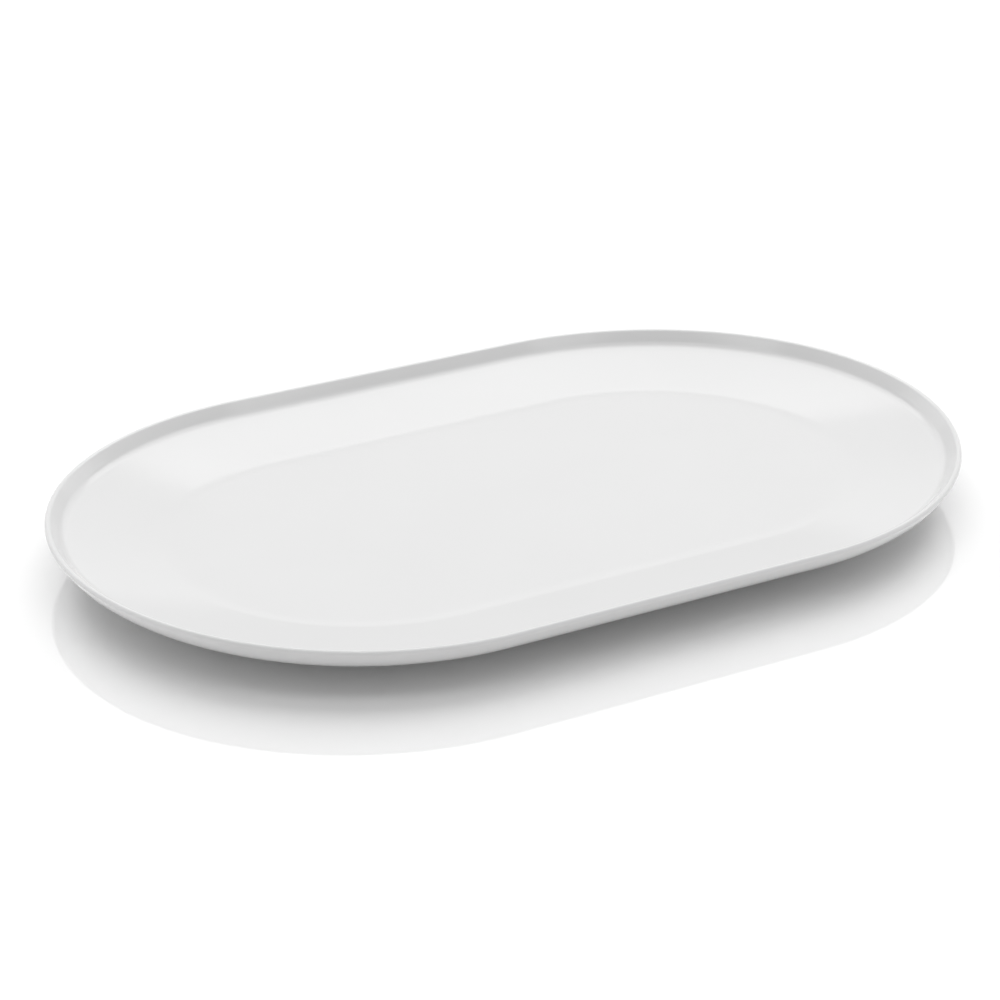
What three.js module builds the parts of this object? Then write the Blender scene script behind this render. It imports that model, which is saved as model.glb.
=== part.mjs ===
// Serving platter of glazed porcelain: a flat floor, a sloping band and an upturned rim, all
// carried round an oval of two half circles and two straight sides, on a bare foot ring.
// Millimetres, +Z up. The origin is on the table under the middle of the dish, X along it.

import * as THREE from "three";
import { mergeVertices } from "three/addons/utils/BufferGeometryUtils.js";

const { degToRad } = THREE.MathUtils;

// Outline of the dish, seen from above
const DISH_LENGTH = 358;
const DISH_WIDTH = 232;

// Serving floor, and how far its edge lies in from the edge of the dish
const FLOOR_INSET = 42.5;
const FLOOR_THICKNESS = 4.3;
const FLOOR_BLEND_RADIUS = 50;
const UNDERSIDE_BLEND_RADIUS = 25;

// Sloping band round the floor, with its thickness where it meets the rim
const BAND_SLOPE = degToRad(9.2);
const BAND_THICKNESS = 4.7;

// Upturned rim: how far it rises above the band, its leans from upright, its bends and its lip
const RIM_RISE = 4.1;
const RIM_INNER_LEAN = degToRad(40);
const RIM_OUTER_LEAN = degToRad(30);
const RIM_INNER_RADIUS = 5;
const RIM_OUTER_RADIUS = 17;
const LIP_THICKNESS = 2.5;

// How much higher the rim stands at the two ends than along the sides
const END_LIFT = 1.7;

// Foot ring, from its root under the dish down to its standing edge
const FOOT_HEIGHT = 4.2;
const FOOT_SETBACK = 1.5;
const FOOT_ROOT_WIDTH = 8;
const FOOT_ROOT_EDGE = 0.4;
const FOOT_NECK_WIDTH = 5;
const FOOT_STANDING_WIDTH = 3.8;
const FOOT_EDGE_RADIUS = 0.8;

// Fineness of the facets
const HALF_TURN_STEPS = 36;
const CHORD_TOLERANCE = 0.04;
const FILLET_SHARE = 0.95;
const MERGE_DISTANCE = 1e-4;

// Heights and reaches that follow from the sizes above. A reach is the distance from the
// spine, the straight line that joins the centres of the two round ends.
const HALF_SPINE = (DISH_LENGTH - DISH_WIDTH) / 2;
const EDGE_REACH = DISH_WIDTH / 2;
const FLOOR_REACH = EDGE_REACH - FLOOR_INSET;
const FLOOR_TOP = FOOT_HEIGHT + FLOOR_THICKNESS;
const LIP_TOP = FLOOR_TOP + FLOOR_INSET * Math.tan(BAND_SLOPE) + RIM_RISE;
const LIP_RADIUS = LIP_THICKNESS / 2;

// Point where two lines cross, each given by a point and a direction
function crossing(pointA, directionA, pointB, directionB) {
  const between = pointB.clone().sub(pointA);
  const along = between.cross(directionB) / directionA.cross(directionB);
  return pointA.clone().addScaledVector(directionA, along);
}

// Runs a path up to a corner and round it, on an arc no longer than the corner's sides allow
function roundCorner(path, corner, next, radius) {
  const incoming = corner.clone().sub(path.currentPoint);
  const outgoing = next.clone().sub(corner);
  const room = Math.min(incoming.length(), outgoing.length()) * FILLET_SHARE;
  incoming.normalize();
  outgoing.normalize();
  const turn = Math.atan2(incoming.cross(outgoing), incoming.dot(outgoing));
  const halfTurn = Math.tan(Math.abs(turn) / 2);
  const setback = Math.min(radius * halfTurn, room);
  const bend = setback / halfTurn;
  const side = Math.sign(turn);
  const start = corner.clone().addScaledVector(incoming, -setback);
  const end = corner.clone().addScaledVector(outgoing, setback);
  const centre = new THREE.Vector2(-incoming.y, incoming.x).multiplyScalar(side * bend).add(start);
  path.lineTo(start.x, start.y);
  const from = start.sub(centre).angle();
  const to = end.sub(centre).angle();
  path.absarc(centre.x, centre.y, bend, from, to, side < 0);
}

// Points of a path, with as many on each arc as the chord tolerance asks for
function sectionPoints(path) {
  const points = [];
  for (const curve of path.curves) {
    let steps = 1;
    if (curve.isEllipseCurve) {
      const largestStep = 2 * Math.acos(1 - CHORD_TOLERANCE / curve.xRadius);
      steps = Math.ceil(curve.getLength() / curve.xRadius / largestStep);
    }
    for (const point of curve.getPoints(steps)) {
      const last = points.at(-1);
      if (!last || last.distanceTo(point) > MERGE_DISTANCE) {
        points.push(point);
      }
    }
  }
  return points;
}

// Stations round the oval, each with its end of the spine and the direction it faces
function ovalStations() {
  const stations = [];
  for (const end of [1, -1]) {
    for (let step = 0; step <= HALF_TURN_STEPS; step += 1) {
      const turn = Math.PI * (step / HALF_TURN_STEPS - end / 2);
      stations.push({ x: end * HALF_SPINE, turn });
    }
  }
  return stations;
}

// Lift of the dish towards its ends: it grows from the edge of the floor outwards and from the
// straight sides to the tips, smoothly both ways
function endLift(reach, turn) {
  const outwards = Math.max(0, (reach - FLOOR_REACH) / FLOOR_INSET);
  return END_LIFT * outwards ** 2 * Math.cos(turn) ** 2;
}

// Closed surface of a section carried round the oval. The section runs outwards along the top
// and back underneath. An open one starts and ends on the spine, a ring's one joins itself.
function carryRound(section, isRing) {
  const stations = ovalStations();
  const rows = section.length;
  const strips = isRing ? rows : rows - 1;
  const positions = [];
  const faces = [];
  stations.forEach((station, column) => {
    const next = (column + 1) % stations.length;
    for (const { x: reach, y: height } of section) {
      const along = station.x + reach * Math.cos(station.turn);
      const across = reach * Math.sin(station.turn);
      positions.push(along, across, height + endLift(reach, station.turn));
    }
    for (let row = 0; row < strips; row += 1) {
      const after = (row + 1) % rows;
      faces.push(column * rows + row, column * rows + after, next * rows + after);
      faces.push(column * rows + row, next * rows + after, next * rows + row);
    }
  });
  const geometry = new THREE.BufferGeometry();
  geometry.setAttribute("position", new THREE.Float32BufferAttribute(positions, 3));
  geometry.setIndex(faces);
  return withoutFlatFaces(mergeVertices(geometry, MERGE_DISTANCE));
}

// Leaves out the faces that shrank to a line where a section meets the spine
function withoutFlatFaces(geometry) {
  const corners = geometry.index.array;
  const kept = [];
  for (let first = 0; first < corners.length; first += 3) {
    const face = Array.from(corners.subarray(first, first + 3));
    if (new Set(face).size === 3) {
      kept.push(...face);
    }
  }
  geometry.setIndex(kept);
  geometry.computeVertexNormals();
  return geometry;
}

// Section of the dish from the middle of the floor, over the lip, to the middle underneath
function dishSection() {
  const floorMiddle = new THREE.Vector2(0, FLOOR_TOP);
  const undersideMiddle = new THREE.Vector2(0, FOOT_HEIGHT);
  const floorEdge = new THREE.Vector2(FLOOR_REACH, FLOOR_TOP);
  const undersideEdge = new THREE.Vector2(FLOOR_REACH, FOOT_HEIGHT);

  const bandUpwards = new THREE.Vector2(Math.cos(BAND_SLOPE), Math.sin(BAND_SLOPE));
  const bandDown = new THREE.Vector2(Math.sin(BAND_SLOPE), -Math.cos(BAND_SLOPE));
  const innerUpwards = new THREE.Vector2(Math.sin(RIM_INNER_LEAN), Math.cos(RIM_INNER_LEAN));
  const outerUpwards = new THREE.Vector2(Math.sin(RIM_OUTER_LEAN), Math.cos(RIM_OUTER_LEAN));
  const rimInwards = new THREE.Vector2(-innerUpwards.y, innerUpwards.x);
  const rimOutwards = new THREE.Vector2(outerUpwards.y, -outerUpwards.x);

  const lipCentre = new THREE.Vector2(EDGE_REACH - LIP_RADIUS, LIP_TOP - LIP_RADIUS);
  const lipInside = lipCentre.clone().addScaledVector(rimInwards, LIP_RADIUS);
  const lipOutside = lipCentre.clone().addScaledVector(rimOutwards, LIP_RADIUS);

  const rimInnerBend = crossing(floorEdge, bandUpwards, lipInside, innerUpwards);
  const bandUnderRim = rimInnerBend.clone().addScaledVector(bandDown, BAND_THICKNESS);
  const underBand = bandUnderRim.sub(undersideEdge);
  const rimOuterBend = crossing(undersideEdge, underBand, lipOutside, outerUpwards);

  const path = new THREE.Path();
  path.moveTo(floorMiddle.x, floorMiddle.y);
  roundCorner(path, floorEdge, rimInnerBend, FLOOR_BLEND_RADIUS);
  roundCorner(path, rimInnerBend, lipInside, RIM_INNER_RADIUS);
  path.lineTo(lipInside.x, lipInside.y);
  path.absarc(lipCentre.x, lipCentre.y, LIP_RADIUS, Math.PI - RIM_INNER_LEAN, Math.PI / 2, true);
  path.absarc(lipCentre.x, lipCentre.y, LIP_RADIUS, Math.PI / 2, 0, true);
  path.absarc(lipCentre.x, lipCentre.y, LIP_RADIUS, 0, -RIM_OUTER_LEAN, true);
  roundCorner(path, rimOuterBend, undersideEdge, RIM_OUTER_RADIUS);
  roundCorner(path, undersideEdge, undersideMiddle, UNDERSIDE_BLEND_RADIUS);
  path.lineTo(undersideMiddle.x, undersideMiddle.y);
  return sectionPoints(path);
}

// Reach of the flat part of the underside, which ends where the last bend of the section ends
function flatUndersideReach(section) {
  return section.at(-2).x;
}

// Section of the foot ring: a flared root on the flat underside, a neck and a standing edge
function footSection(rootReach) {
  const middle = rootReach - FOOT_ROOT_WIDTH / 2;
  const flareHeight = FOOT_HEIGHT - FOOT_ROOT_EDGE;
  const flare = (FOOT_ROOT_WIDTH - FOOT_NECK_WIDTH) / 2;
  const corner = (reach, height) => new THREE.Vector2(reach, height);
  const sides = (width, height) => [corner(middle + width / 2, height), corner(middle - width / 2, height)];
  const [seatOut, seatIn] = sides(FOOT_ROOT_WIDTH, FOOT_HEIGHT);
  const [rootOut, rootIn] = sides(FOOT_ROOT_WIDTH, flareHeight);
  const [neckOut, neckIn] = sides(FOOT_NECK_WIDTH, flareHeight);
  const [standOut, standIn] = sides(FOOT_STANDING_WIDTH, 0);

  const path = new THREE.Path();
  path.moveTo(seatOut.x, seatOut.y);
  path.lineTo(rootOut.x, rootOut.y);
  roundCorner(path, neckOut, standOut, flare);
  roundCorner(path, standOut, standIn, FOOT_EDGE_RADIUS);
  roundCorner(path, standIn, neckIn, FOOT_EDGE_RADIUS);
  roundCorner(path, neckIn, rootIn, flare);
  path.lineTo(rootIn.x, rootIn.y);
  path.lineTo(seatIn.x, seatIn.y);
  return sectionPoints(path);
}

function platterBody(section) {
  const glaze = new THREE.MeshStandardMaterial({ color: 0xededed, roughness: 0.15, metalness: 0 });
  const mesh = new THREE.Mesh(carryRound(section, false), glaze);
  mesh.name = "platter_body";
  return mesh;
}

function footRing(rootReach) {
  const biscuit = new THREE.MeshStandardMaterial({ color: 0xe2ded6, roughness: 0.8, metalness: 0 });
  const mesh = new THREE.Mesh(carryRound(footSection(rootReach), true), biscuit);
  mesh.name = "foot_ring";
  return mesh;
}

const dish = dishSection();
const platter = new THREE.Group();
platter.add(platterBody(dish));
platter.add(footRing(flatUndersideReach(dish) - FOOT_SETBACK));

export default platter;
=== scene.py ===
"""Oval serving platter of white glazed porcelain on a bare foot ring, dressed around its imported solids."""

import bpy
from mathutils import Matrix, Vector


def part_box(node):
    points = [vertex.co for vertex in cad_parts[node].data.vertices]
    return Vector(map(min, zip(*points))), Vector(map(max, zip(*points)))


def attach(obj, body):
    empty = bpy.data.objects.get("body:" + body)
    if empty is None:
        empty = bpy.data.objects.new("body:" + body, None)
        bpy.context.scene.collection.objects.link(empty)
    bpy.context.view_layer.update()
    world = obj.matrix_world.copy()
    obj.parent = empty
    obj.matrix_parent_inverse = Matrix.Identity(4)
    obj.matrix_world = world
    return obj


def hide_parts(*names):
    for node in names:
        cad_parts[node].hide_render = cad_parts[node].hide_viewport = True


bl_info = {
    "name": "Oval Serving Platter",
    "version": (1, 0, 0),
    "blender": (4, 5, 0),
    "location": "3D View > Sidebar > Platter",
    "description": "Shapes and finishes an oval porcelain platter and sets its studio",
    "category": "Add Mesh",
}

from math import radians

import bpy
import numpy as np
from bpy.props import FloatProperty, FloatVectorProperty, PointerProperty
from bpy.types import Operator, Panel, PropertyGroup
from mathutils import Vector

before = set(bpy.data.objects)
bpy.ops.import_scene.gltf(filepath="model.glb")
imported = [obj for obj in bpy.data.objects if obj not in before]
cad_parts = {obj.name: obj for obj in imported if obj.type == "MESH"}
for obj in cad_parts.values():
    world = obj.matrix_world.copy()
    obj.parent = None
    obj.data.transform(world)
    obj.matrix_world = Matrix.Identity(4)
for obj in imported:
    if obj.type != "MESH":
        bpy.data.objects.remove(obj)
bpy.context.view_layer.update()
DISH_LOW, DISH_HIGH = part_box("platter_body")
_, FOOT_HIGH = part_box("foot_ring")

MILLIMETRE = 0.001

# Steps of the surfaces: round one end of the oval, along one straight side, and per piece of a section
END_STEPS = 96
SIDE_STEPS = 40
FLAT_STEPS = 14
BEND_STEPS = 20
LIP_STEPS = 28

# Edges that turn by more than this are creased, not shaded smooth
SHARP_ANGLE = radians(60)

# Points that agree to this many decimals of a metre are one
WELD_DECIMALS = 8

# Light panels: turn from the camera's direction, elevation, width and height seen from the platter in
# degrees, and radiance above the fill
PANELS = {
    "key_panel": (180, 58, 70, 48, 1.85),
    "top_panel": (0, 75, 70, 24, 1.3),
    "backdrop_panel": (180, 23.5, 110, 21, 0.75),
    "horizon_panel": (180, 6.5, 110, 13, 0.4),
    "left_panel": (-90, 15, 70, 30, 0.75),
    "right_panel": (90, 15, 70, 30, 0.75),
    "front_panel": (0, 15, 110, 30, 0.3),
}
PANEL_DISTANCE = 8.0
FLOOR_RADIUS = 8.0
FLOOR_RINGS = 24
FLOOR_SPOKES = 96

WHITE = (1.0, 1.0, 1.0, 1.0)
GLAZE_IOR = 1.5
NOISE_MIDDLE = 0.5
SEEN_RAYS = ("Is Camera Ray", "Is Glossy Ray", "Is Transmission Ray")

# Places of a Mix node's colour sockets, whose names its other sockets share
MIX_FACTOR, MIX_FIRST, MIX_SECOND = 0, 6, 7
MIX_COLOUR = 2


def size(name, description, default):
    """A size in metres that the sidebar shows with its unit."""
    return FloatProperty(name=name, description=description, default=default, min=0.0,
                         precision=5, subtype="DISTANCE", unit="LENGTH")


def angle(name, description, degrees):
    """An angle that the sidebar shows in degrees."""
    return FloatProperty(name=name, description=description, default=radians(degrees),
                         subtype="ANGLE", unit="ROTATION")


def share(name, description, default):
    """A plain number from 0 to 1."""
    return FloatProperty(name=name, description=description, default=default,
                         min=0.0, max=1.0, subtype="FACTOR")


def number(name, description, default):
    """A plain number of any size."""
    return FloatProperty(name=name, description=description, default=default, precision=4)


def colour(name, description, default):
    """A linear colour."""
    return FloatVectorProperty(name=name, description=description, default=default,
                               size=3, min=0.0, max=1.0, subtype="COLOR")


class PlatterDish(PropertyGroup):
    """Sizes and glaze of the dish."""

    length: size("Length", "Overall length of the dish", DISH_HIGH.x - DISH_LOW.x)
    width: size("Width", "Overall width of the dish", DISH_HIGH.y - DISH_LOW.y)
    underside: size("Underside", "Height of the flat underside above the table", DISH_LOW.z)
    floor_thickness: size("Floor", "Thickness of the serving floor", 4.3 * MILLIMETRE)
    floor_inset: size("Floor inset", "From the edge of the dish in to the floor", 42.5 * MILLIMETRE)
    floor_blend: size("Floor blend", "Radius between floor and band", 50 * MILLIMETRE)
    underside_blend: size("Underside blend", "Radius between underside and band", 25 * MILLIMETRE)
    band_slope: angle("Band slope", "Slope of the band round the floor", 9.2)
    band_thickness: size("Band", "Thickness of the band where it meets the rim", 4.7 * MILLIMETRE)
    rim_rise: size("Rim rise", "Height of the lip above the line of the band", 4.1 * MILLIMETRE)
    rim_inner_lean: angle("Rim inner lean", "Lean from upright inside the rim", 40)
    rim_outer_lean: angle("Rim outer lean", "Lean from upright outside the rim", 30)
    rim_inner_radius: size("Rim inside", "Radius inside the upturned rim", 5 * MILLIMETRE)
    rim_outer_radius: size("Rim outside", "Radius outside the upturned rim", 17 * MILLIMETRE)
    lip_thickness: size("Lip", "Thickness of the rounded lip", 2.5 * MILLIMETRE)
    end_lift: size("End lift", "How much higher the rim stands at the ends", 1.7 * MILLIMETRE)
    glaze: colour("Glaze", "Colour of the white glaze", (0.80, 0.80, 0.80))
    roughness: share("Roughness", "Roughness of the glaze", 0.12)
    uneven_gloss: share("Uneven gloss", "How far the roughness varies", 0.06)
    patch_size: size("Patch size", "Size of the patches of uneven gloss", 17 * MILLIMETRE)
    clouding: share("Clouding", "How far the glaze is lighter and darker in clouds", 0.015)
    cloud_size: size("Cloud size", "Size of the clouds in the glaze", 45 * MILLIMETRE)
    wave_size: size("Wave size", "Size of the soft waves from firing", 28 * MILLIMETRE)
    wave_depth: size("Wave depth", "Depth of the soft waves", 0.05 * MILLIMETRE)
    peel_size: size("Peel size", "Size of the dimples of the glaze skin", 1.1 * MILLIMETRE)
    peel_depth: size("Peel depth", "Depth of the dimples", 0.001 * MILLIMETRE)


class PlatterFoot(PropertyGroup):
    """Sizes and clay of the foot ring."""

    root_reach: size("Root reach", "From the spine of the oval out to the root", FOOT_HIGH.y)
    root_width: size("Root", "Width of the flared root", 8 * MILLIMETRE)
    neck_width: size("Neck", "Width of the neck under the root", 5 * MILLIMETRE)
    standing_width: size("Standing edge", "Width of the standing edge", 3.8 * MILLIMETRE)
    edge_radius: size("Edge radius", "Radius of the standing edge's corners", 0.8 * MILLIMETRE)
    biscuit: colour("Biscuit", "Colour of the bare clay", (0.74, 0.72, 0.68))
    mottling: share("Mottling", "How far the grains are lighter and darker", 0.1)
    roughness: share("Roughness", "Roughness of the bare clay", 0.85)
    glaze_line: size("Glaze line", "Height at which the glaze ends", 1.1 * MILLIMETRE)
    line_wander: size("Line wander", "How far the glaze line wanders up and down", 0.6 * MILLIMETRE)
    wander_size: size("Wander size", "Length of one wander of the glaze line", 8 * MILLIMETRE)
    line_blur: size("Line blur", "Width over which the glaze thins out", 0.2 * MILLIMETRE)
    glaze_roll: size("Glaze roll", "Thickness of the glaze at its line", 0.1 * MILLIMETRE)
    grain_size: size("Grain size", "Size of the grains in the clay", 0.5 * MILLIMETRE)
    grain_depth: size("Grain depth", "Depth of the grains", 0.05 * MILLIMETRE)
    scratch_length: size("Scratch length", "Length of the grinding marks", 40 * MILLIMETRE)
    scratch_width: size("Scratch width", "Width of the grinding marks", 0.3 * MILLIMETRE)
    scratch_depth: size("Scratch depth", "Depth of the grinding marks", 0.03 * MILLIMETRE)


class PlatterStage(PropertyGroup):
    """Floor, light and camera."""

    floor: colour("Floor", "Colour of the pale floor", (0.98, 0.98, 0.98))
    azimuth: angle("Azimuth", "Direction of the camera round the platter", -29.35)
    elevation: angle("Elevation", "Height of the camera above the horizon", 25.0)
    distance: size("Distance", "Camera to the middle of the platter", 1.1254)
    lens: FloatProperty(name="Lens", description="Focal length", default=107.16, unit="CAMERA")
    shift_x: number("Shift across", "Lens shift across the picture", -0.0148)
    shift_y: number("Shift up", "Lens shift up the picture", 0.0190)
    fill: number("Fill", "Radiance of the even fill light", 0.26)
    whitening: number("Whitening", "How much whiter the floor is to the eye", 1.1)
    polish: number("Polish", "Index of refraction of the floor", 3.4)
    floor_roughness: share("Floor roughness", "Roughness of the floor where it is polished", 0.04)
    matt_roughness: share("Matt roughness", "Roughness of the floor away from the platter", 0.6)
    polished_reach: size("Polished reach", "From the middle out to where the polish begins to fade", 0.22)
    matt_reach: size("Matt reach", "From the middle out to where the floor is matt", 0.55)


def unit(direction):
    """The same direction with length 1: divided by its own length."""
    return direction / np.linalg.norm(direction)


def cross(first, second):
    """Area between two flat directions: the first's x times the second's y, less the other way round."""
    return first[0] * second[1] - first[1] * second[0]


def crossing(point_a, direction_a, point_b, direction_b):
    """Point where two lines cross, each given by a point and a direction."""
    along = cross(point_b - point_a, direction_b) / cross(direction_a, direction_b)
    return point_a + along * direction_a


def arc(centre, radius, start, stop, steps):
    """Points of a circle's arc: centre plus radius times the cosine and sine of evenly spaced angles."""
    turn = np.linspace(start, stop, steps + 1)
    return centre + radius * np.column_stack((np.cos(turn), np.sin(turn)))


def straight(start, stop, steps):
    """Points spaced evenly from start up to stop, which is left out."""
    return start + (stop - start) * np.linspace(0, 1, steps, endpoint=False)[:, None]


def rounded_corner(before, corner, after, radius, steps):
    """Arc that touches both sides of a corner: its centre lies one radius square to the first side."""
    incoming = unit(corner - before)
    outgoing = unit(after - corner)
    turn = np.arctan2(cross(incoming, outgoing), incoming @ outgoing)
    start = corner - incoming * radius * np.tan(abs(turn) / 2)
    square = np.sign(turn) * np.array((-incoming[1], incoming[0]))
    first = np.arctan2(-square[1], -square[0])
    return arc(start + radius * square, radius, first, first + turn, steps)


def joined(*pieces):
    """One section from its pieces in order, without repeated points."""
    points = np.concatenate(pieces)
    steps = np.linalg.norm(np.diff(points, axis=0), axis=1)
    return points[np.concatenate(([True], steps > 10**-WELD_DECIMALS))]


def dish_section(dish):
    """Reach and height from the middle of the floor, over the lip, to the middle underneath.

    Straight floor, band, rim and underside, with an arc at each bend and half a circle for the lip."""
    edge = dish.width / 2
    floor_top = dish.underside + dish.floor_thickness
    lip_radius = dish.lip_thickness / 2
    floor_edge = np.array((edge - dish.floor_inset, floor_top))
    under_edge = np.array((edge - dish.floor_inset, dish.underside))
    floor_middle = np.array((0.0, floor_top))
    under_middle = np.array((0.0, dish.underside))

    band_up = np.array((np.cos(dish.band_slope), np.sin(dish.band_slope)))
    band_down = np.array((band_up[1], -band_up[0]))
    inner_up = np.array((np.sin(dish.rim_inner_lean), np.cos(dish.rim_inner_lean)))
    outer_up = np.array((np.sin(dish.rim_outer_lean), np.cos(dish.rim_outer_lean)))

    lip_top = floor_top + dish.floor_inset * np.tan(dish.band_slope) + dish.rim_rise
    lip = np.array((edge - lip_radius, lip_top - lip_radius))
    lip_inside = lip + lip_radius * np.array((-inner_up[1], inner_up[0]))
    lip_outside = lip + lip_radius * np.array((outer_up[1], -outer_up[0]))
    inner_bend = crossing(floor_edge, band_up, lip_inside, inner_up)
    under_rim = inner_bend + band_down * dish.band_thickness
    outer_bend = crossing(under_edge, under_rim - under_edge, lip_outside, outer_up)

    floor_arc = rounded_corner(floor_middle, floor_edge, inner_bend, dish.floor_blend, BEND_STEPS)
    inner_arc = rounded_corner(floor_edge, inner_bend, lip_inside, dish.rim_inner_radius, BEND_STEPS)
    lip_arc = arc(lip, lip_radius, np.pi - dish.rim_inner_lean, -dish.rim_outer_lean, LIP_STEPS)
    outer_arc = rounded_corner(lip_outside, outer_bend, under_edge, dish.rim_outer_radius, BEND_STEPS)
    under_arc = rounded_corner(outer_bend, under_edge, under_middle, dish.underside_blend, BEND_STEPS)
    return joined(
        straight(floor_middle, floor_arc[0], FLAT_STEPS), floor_arc,
        straight(floor_arc[-1], inner_arc[0], FLAT_STEPS), inner_arc,
        lip_arc, outer_arc,
        straight(outer_arc[-1], under_arc[0], FLAT_STEPS), under_arc,
        straight(under_arc[-1], under_middle, FLAT_STEPS), under_middle[None],
    )


def foot_section(foot, seat):
    """Closed loop of reach and height: a root that flares into the underside, a neck, a standing edge.

    Straight sides, with an arc at each flare and at each corner of the edge."""
    middle = foot.root_reach - foot.root_width / 2
    flare = (foot.root_width - foot.neck_width) / 2

    def pair(width, height):
        """Outer and inner point, half a width either side of the ring's middle."""
        return [np.array((middle + side * width / 2, height)) for side in (1, -1)]

    root_out, root_in = pair(foot.root_width, seat)
    neck_out, neck_in = pair(foot.neck_width, seat)
    stand_out, stand_in = pair(foot.standing_width, 0.0)
    outer_flare = rounded_corner(root_out, neck_out, stand_out, flare, BEND_STEPS)
    outer_edge = rounded_corner(neck_out, stand_out, stand_in, foot.edge_radius, BEND_STEPS)
    inner_edge = rounded_corner(stand_out, stand_in, neck_in, foot.edge_radius, BEND_STEPS)
    inner_flare = rounded_corner(stand_in, neck_in, root_in, flare, BEND_STEPS)
    return joined(
        outer_flare,
        straight(outer_flare[-1], outer_edge[0], FLAT_STEPS), outer_edge,
        straight(outer_edge[-1], inner_edge[0], FLAT_STEPS), inner_edge,
        straight(inner_edge[-1], inner_flare[0], FLAT_STEPS), inner_flare,
        outer_flare[:1],
    )


def oval_stations(half_spine):
    """Stations round the oval: half a turn at each end of the spine, and a slide along it between them."""
    turn = np.linspace(-np.pi / 2, np.pi / 2, END_STEPS + 1)
    slide = np.linspace(half_spine, -half_spine, SIDE_STEPS + 1)[1:-1]
    end = np.full(END_STEPS + 1, half_spine)
    side = np.full(SIDE_STEPS - 1, np.pi / 2)
    spine = np.concatenate((end, slide, -end, -slide))
    return spine, np.concatenate((turn, side, turn + np.pi, side + np.pi))


def end_lift(dish, reach, along):
    """Lift towards the ends: the square of the share of the way from the floor's edge to the lip, times
    the square of the direction's cosine."""
    floor_reach = dish.width / 2 - dish.floor_inset
    outwards = np.clip((reach - floor_reach) / dish.floor_inset, 0, None)
    return dish.end_lift * outwards**2 * along**2


def carried_round(section, dish):
    """Points of a section at each station: the spine point plus the reach in the station's direction."""
    spine, turn = oval_stations((dish.length - dish.width) / 2)
    reach, height = section.T
    along = np.cos(turn)[:, None]
    x = spine[:, None] + reach * along
    y = reach * np.sin(turn)[:, None]
    return np.stack((x, y, height + end_lift(dish, reach, along)), axis=-1)


def flat_disc():
    """Points of a disc: evenly spaced radii times the cosine and sine of evenly spaced turns."""
    radius = np.linspace(0, FLOOR_RADIUS, FLOOR_RINGS)
    turn = np.linspace(0, 2 * np.pi, FLOOR_SPOKES, endpoint=False)[:, None]
    x = radius * np.cos(turn)
    return np.stack((x, radius * np.sin(turn), np.zeros_like(x)), axis=-1)


def grid_faces(stations, rows):
    """Corners of the faces between neighbouring stations and rows. The last station joins the first."""
    index = np.arange(stations * rows).reshape(stations, rows)
    following = np.roll(index, -1, axis=0)
    corners = (index[:, :-1], index[:, 1:], following[:, 1:], following[:, :-1])
    return np.stack(corners, axis=-1).reshape(-1, 4)


def welded(grid):
    """Points and faces of a grid, with the points that coincide shared.

    A face that lost a side by it becomes a triangle."""
    points = grid.reshape(-1, 3)
    rounded = np.round(points, WELD_DECIMALS)
    _, first, shared = np.unique(rounded, axis=0, return_index=True, return_inverse=True)
    faces = shared.reshape(-1)[grid_faces(*grid.shape[:2])]
    lost_side = faces == np.roll(faces, -1, axis=1)
    kept = faces[~lost_side.any(axis=1)].tolist()
    for side in range(4):
        corners = [corner for corner in range(4) if corner != side]
        kept += faces[lost_side[:, side]][:, corners].tolist()
    return points[first], kept


def new_piece(name, grid):
    """A smooth mesh object at the origin, in the row frame, from a grid of points by station and row."""
    points, faces = welded(grid)
    mesh = bpy.data.meshes.new(name)
    mesh.from_pydata(points, [], faces)
    if mesh.validate():
        raise ValueError(f"The surface of {name} has faces that fold onto themselves")
    mesh.shade_smooth()
    mesh.set_sharp_from_angle(angle=SHARP_ANGLE)
    piece = bpy.data.objects.new(name, mesh)
    bpy.context.scene.collection.objects.link(piece)
    return piece


class Value:
    """One shader socket. Arithmetic on it adds Math nodes to its tree."""

    def __init__(self, tree, socket):
        self.tree = tree
        self.socket = socket

    def maths(self, operation, first, second):
        """The outcome of one Math node."""
        return self.tree.add("ShaderNodeMath", {"operation": operation}, {0: first, 1: second})

    def __add__(self, other):
        return self.maths("ADD", self, other)

    def __radd__(self, other):
        return self.maths("ADD", other, self)

    def __sub__(self, other):
        return self.maths("SUBTRACT", self, other)

    def __rsub__(self, other):
        return self.maths("SUBTRACT", other, self)

    def __mul__(self, other):
        return self.maths("MULTIPLY", self, other)

    def __rmul__(self, other):
        return self.maths("MULTIPLY", other, self)


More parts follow.
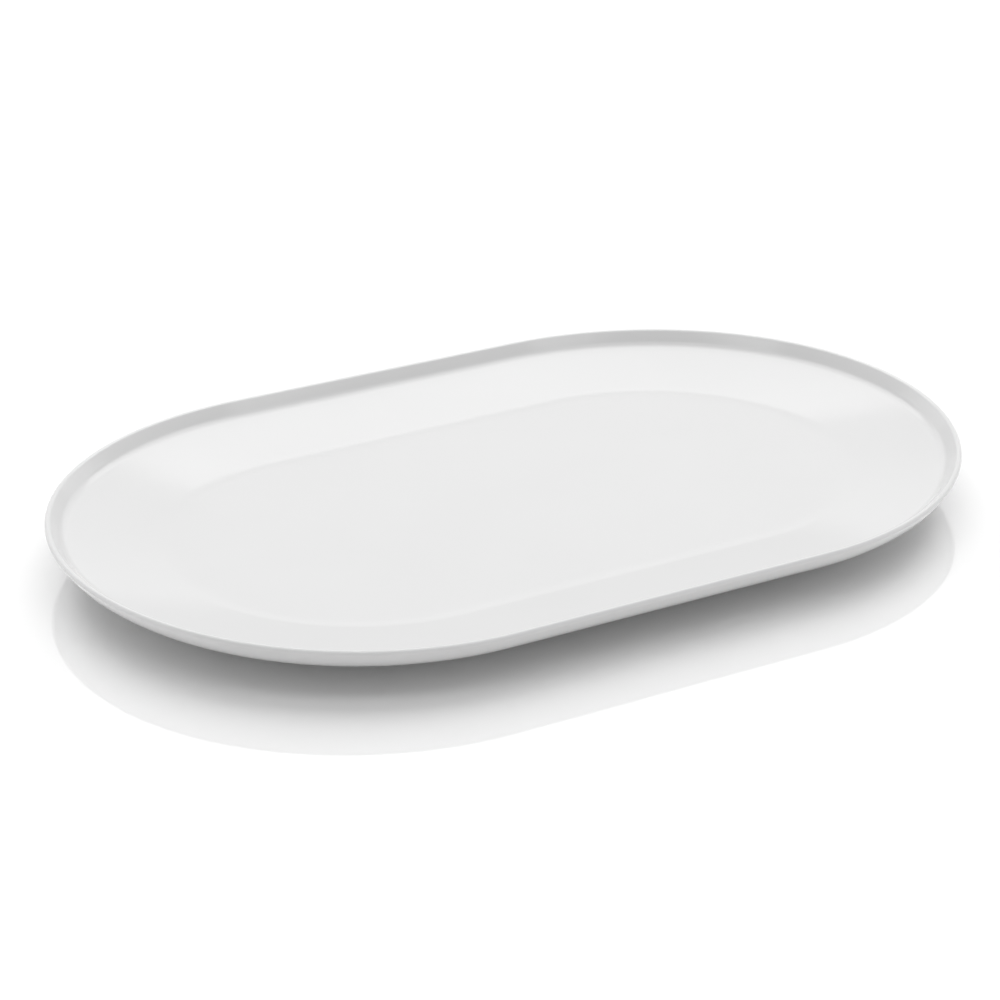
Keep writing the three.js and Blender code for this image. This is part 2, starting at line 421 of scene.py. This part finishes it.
class ShaderTree:
    """The nodes of a material or world, each added by its type, settings and sockets."""

    def __init__(self, owner):
        owner.use_nodes = True
        self.nodes = owner.node_tree.nodes
        self.links = owner.node_tree.links
        self.nodes.clear()

    def add(self, kind, settings=None, sockets=None, output=0):
        """One output of a new node, after its settings and its sockets' values or links are set."""
        node = self.nodes.new(kind)
        for name, setting in (settings or {}).items():
            setattr(node, name, setting)
        for name, value in (sockets or {}).items():
            if isinstance(value, Value):
                self.links.new(value.socket, node.inputs[name])
            else:
                node.inputs[name].default_value = value
        return Value(self, node.outputs[output]) if node.outputs else None

    def place(self):
        """Object coordinates, in metres."""
        return self.add("ShaderNodeTexCoord", output="Object")

    def noise(self, where, size, detail=1.0):
        """Soft noise from 0 to 1 with features of a size: the coordinates are divided by that size."""
        return self.add("ShaderNodeTexNoise", None, {"Vector": where, "Scale": 1 / size, "Detail": detail})

    def mixed(self, factor, first, second):
        """Colour between first and second."""
        sockets = {MIX_FACTOR: factor, MIX_FIRST: first, MIX_SECOND: second}
        return self.add("ShaderNodeMix", {"data_type": "RGBA"}, sockets, MIX_COLOUR)

    def relief(self, height):
        """Normal of a surface that stands up by a height in metres."""
        return self.add("ShaderNodeBump", None, {"Distance": 1.0, "Height": height})

    def surface(self, **sockets):
        """Ends the material in one surface with these sockets, written with _ for a space."""
        plain = {name.replace("_", " "): value for name, value in sockets.items()}
        shader = self.add("ShaderNodeBsdfPrincipled", None, plain)
        self.add("ShaderNodeOutputMaterial", None, {"Surface": shader})


def opaque(rgb, factor=1.0):
    """A linear colour with its alpha, made lighter or darker by a factor."""
    return (*(factor * part for part in rgb), 1.0)


def shades(rgb, spread):
    """The two colours that lie one spread below and above a colour."""
    return opaque(rgb, 1 - spread), opaque(rgb, 1 + spread)


def glaze_material(dish):
    """White gloss glaze: faint clouds, uneven gloss, soft waves from firing and a finely dimpled skin."""
    material = bpy.data.materials.new("white_glaze")
    tree = ShaderTree(material)
    where = tree.place()
    clouds = tree.noise(where, dish.cloud_size, detail=3.0)
    patches = tree.noise(where, dish.patch_size, detail=3.0) - NOISE_MIDDLE
    waves = tree.noise(where, dish.wave_size)
    dimples = tree.noise(where, dish.peel_size)
    tree.surface(
        Base_Color=tree.mixed(clouds, *shades(dish.glaze, dish.clouding)),
        Roughness=dish.roughness + dish.uneven_gloss * patches,
        Normal=tree.relief(dish.wave_depth * waves + dish.peel_depth * dimples),
        IOR=GLAZE_IOR,
    )
    return material


def biscuit_material(dish, foot):
    """Bare clay with grinding marks up to a wandering glaze line, and the dish's glaze above it.

    The share of glaze rises from 0 to 1 over the blur at the line, by height plus noise."""
    material = bpy.data.materials.new("bare_biscuit")
    tree = ShaderTree(material)
    where = tree.place()
    height = tree.add("ShaderNodeSeparateXYZ", None, {"Vector": where}, output="Z")
    wander = foot.line_wander * (tree.noise(where, foot.wander_size, detail=3.0) - NOISE_MIDDLE)
    glazed = tree.add("ShaderNodeMapRange", {"interpolation_type": "SMOOTHSTEP"}, {
        "Value": height + wander,
        "From Min": foot.glaze_line - foot.line_blur / 2,
        "From Max": foot.glaze_line + foot.line_blur / 2,
    })
    bare = 1.0 - glazed

    grain = tree.noise(where, foot.grain_size, detail=4.0)
    narrow = (foot.scratch_width / foot.scratch_length, 1.0, 1.0)
    drawn_out = tree.add("ShaderNodeVectorMath", {"operation": "MULTIPLY"}, {0: where, 1: narrow})
    marks = tree.noise(drawn_out, foot.scratch_width, detail=2.0)
    clay = tree.mixed(grain, *shades(foot.biscuit, foot.mottling))
    clay_relief = foot.grain_depth * grain + foot.scratch_depth * marks
    tree.surface(
        Base_Color=tree.mixed(glazed, clay, opaque(dish.glaze)),
        Roughness=foot.roughness * bare + dish.roughness * glazed,
        Normal=tree.relief(foot.glaze_roll * glazed + clay_relief * bare),
        IOR=GLAZE_IOR,
    )
    return material


def floor_material(stage):
    """Pale floor, polished round the platter and matt further out, by the distance from the middle.

    To the eye, and in mirrors, it is whiter than in the light that it passes on."""
    material = bpy.data.materials.new("pale_floor")
    tree = ShaderTree(material)
    seen = sum(tree.add("ShaderNodeLightPath", output=ray) for ray in SEEN_RAYS)
    tint = tree.mixed(seen, opaque(stage.floor), opaque(stage.floor, stage.whitening))
    place = tree.place()
    reach = tree.add("ShaderNodeVectorMath", {"operation": "LENGTH"}, {0: place}, output="Value")
    roughness = tree.add("ShaderNodeMapRange", {"interpolation_type": "SMOOTHSTEP"}, {
        "Value": reach,
        "From Min": stage.polished_reach,
        "From Max": stage.matt_reach,
        "To Min": stage.floor_roughness,
        "To Max": stage.matt_roughness,
    })
    tree.surface(Base_Color=tint, Roughness=roughness, IOR=stage.polish)
    return material


def studio_world(stage):
    """Even fill light from all round."""
    world = bpy.data.worlds.new("studio")
    tree = ShaderTree(world)
    background = tree.add("ShaderNodeBackground", None, {"Color": WHITE, "Strength": stage.fill})
    tree.add("ShaderNodeOutputWorld", None, {"Surface": background})
    return world


def towards(azimuth, elevation):
    """Direction from the platter: azimuth 0 is -Y, and a positive one turns towards +X."""
    across = np.cos(elevation)
    return Vector((np.sin(azimuth) * across, -np.cos(azimuth) * across, np.sin(elevation)))


def soft_panel(name, azimuth, elevation, wide, high, radiance):
    """A large even light panel that faces the platter, given by the angles it spans from there.

    Its sides are twice the distance times the tangent of half the angle, and its power is pi times the
    radiance times the area."""
    light = bpy.data.lights.new(name, "AREA")
    light.shape = "RECTANGLE"
    light.size = 2 * PANEL_DISTANCE * np.tan(wide / 2)
    light.size_y = 2 * PANEL_DISTANCE * np.tan(high / 2)
    light.energy = radiance * np.pi * light.size * light.size_y
    panel = bpy.data.objects.new(name, light)
    direction = towards(azimuth, elevation)
    panel.location = direction * PANEL_DISTANCE
    panel.rotation_euler = direction.to_track_quat("Z", "Y").to_euler()
    panel.visible_camera = False
    bpy.context.scene.collection.objects.link(panel)


def aimed_camera(stage):
    """A camera that looks at the middle of the platter from the stage's direction and distance."""
    camera = bpy.data.objects.new("camera", bpy.data.cameras.new("camera"))
    bpy.context.scene.collection.objects.link(camera)
    back = towards(stage.azimuth, stage.elevation)
    camera.location = back * stage.distance
    camera.rotation_euler = (-back).to_track_quat("-Z", "Y").to_euler()
    camera.data.lens = stage.lens
    camera.data.shift_x = stage.shift_x
    camera.data.shift_y = stage.shift_y
    return camera


class PLATTER_OT_dish(Operator):
    """Shapes the glazed dish and puts it in place of its plain solid"""

    bl_idname = "platter.shape_dish"
    bl_label = "Glazed Dish"

    def execute(self, context):
        dish = context.scene.platter_dish
        piece = new_piece("glazed_dish", carried_round(dish_section(dish), dish))
        piece.data.materials.append(glaze_material(dish))
        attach(piece, "root")
        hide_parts("platter_body")
        return {"FINISHED"}


class PLATTER_OT_foot(Operator):
    """Shapes the bare foot ring under the dish"""

    bl_idname = "platter.shape_foot"
    bl_label = "Foot Ring"

    def execute(self, context):
        dish = context.scene.platter_dish
        foot = context.scene.platter_foot
        section = foot_section(foot, dish.underside)
        piece = new_piece("standing_ring", carried_round(section, dish))
        piece.data.materials.append(biscuit_material(dish, foot))
        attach(piece, "root")
        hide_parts("foot_ring")
        return {"FINISHED"}


class PLATTER_OT_stage(Operator):
    """Sets the floor, the light and the camera"""

    bl_idname = "platter.set_stage"
    bl_label = "Studio"

    def execute(self, context):
        stage = context.scene.platter_stage
        floor = new_piece("floor", flat_disc())
        floor.data.materials.append(floor_material(stage))

        context.scene.world = studio_world(stage)
        for name, (*angles, radiance) in PANELS.items():
            turn, elevation, wide, high = np.radians(angles)
            soft_panel(name, stage.azimuth + turn, elevation, wide, high, radiance)
        context.scene.view_settings.view_transform = "Standard"
        context.scene.camera = aimed_camera(stage)
        return {"FINISHED"}


class PLATTER_PT_sidebar(Panel):
    """The platter's steps and sizes"""

    bl_label = "Oval Serving Platter"
    bl_idname = "PLATTER_PT_sidebar"
    bl_space_type = "VIEW_3D"
    bl_region_type = "UI"
    bl_category = "Platter"

    def draw(self, context):
        for operator, settings in STEPS:
            box = self.layout.box()
            box.operator(operator.bl_idname)
            group = getattr(context.scene, settings)
            for name in type(group).__annotations__:
                box.prop(group, name)


STEPS = (
    (PLATTER_OT_dish, "platter_dish"),
    (PLATTER_OT_foot, "platter_foot"),
    (PLATTER_OT_stage, "platter_stage"),
)
GROUPS = {"platter_dish": PlatterDish, "platter_foot": PlatterFoot, "platter_stage": PlatterStage}
CLASSES = (*GROUPS.values(), *(operator for operator, _ in STEPS), PLATTER_PT_sidebar)


def register():
    for kind in CLASSES:
        bpy.utils.register_class(kind)
    for name, group in GROUPS.items():
        setattr(bpy.types.Scene, name, PointerProperty(type=group))


def unregister():
    for name in GROUPS:
        delattr(bpy.types.Scene, name)
    for kind in reversed(CLASSES):
        bpy.utils.unregister_class(kind)


def main():
    """Registers the add-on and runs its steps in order."""
    register()
    bpy.ops.platter.shape_dish()
    bpy.ops.platter.shape_foot()
    bpy.ops.platter.set_stage()


if __name__ == "__main__":
    main()
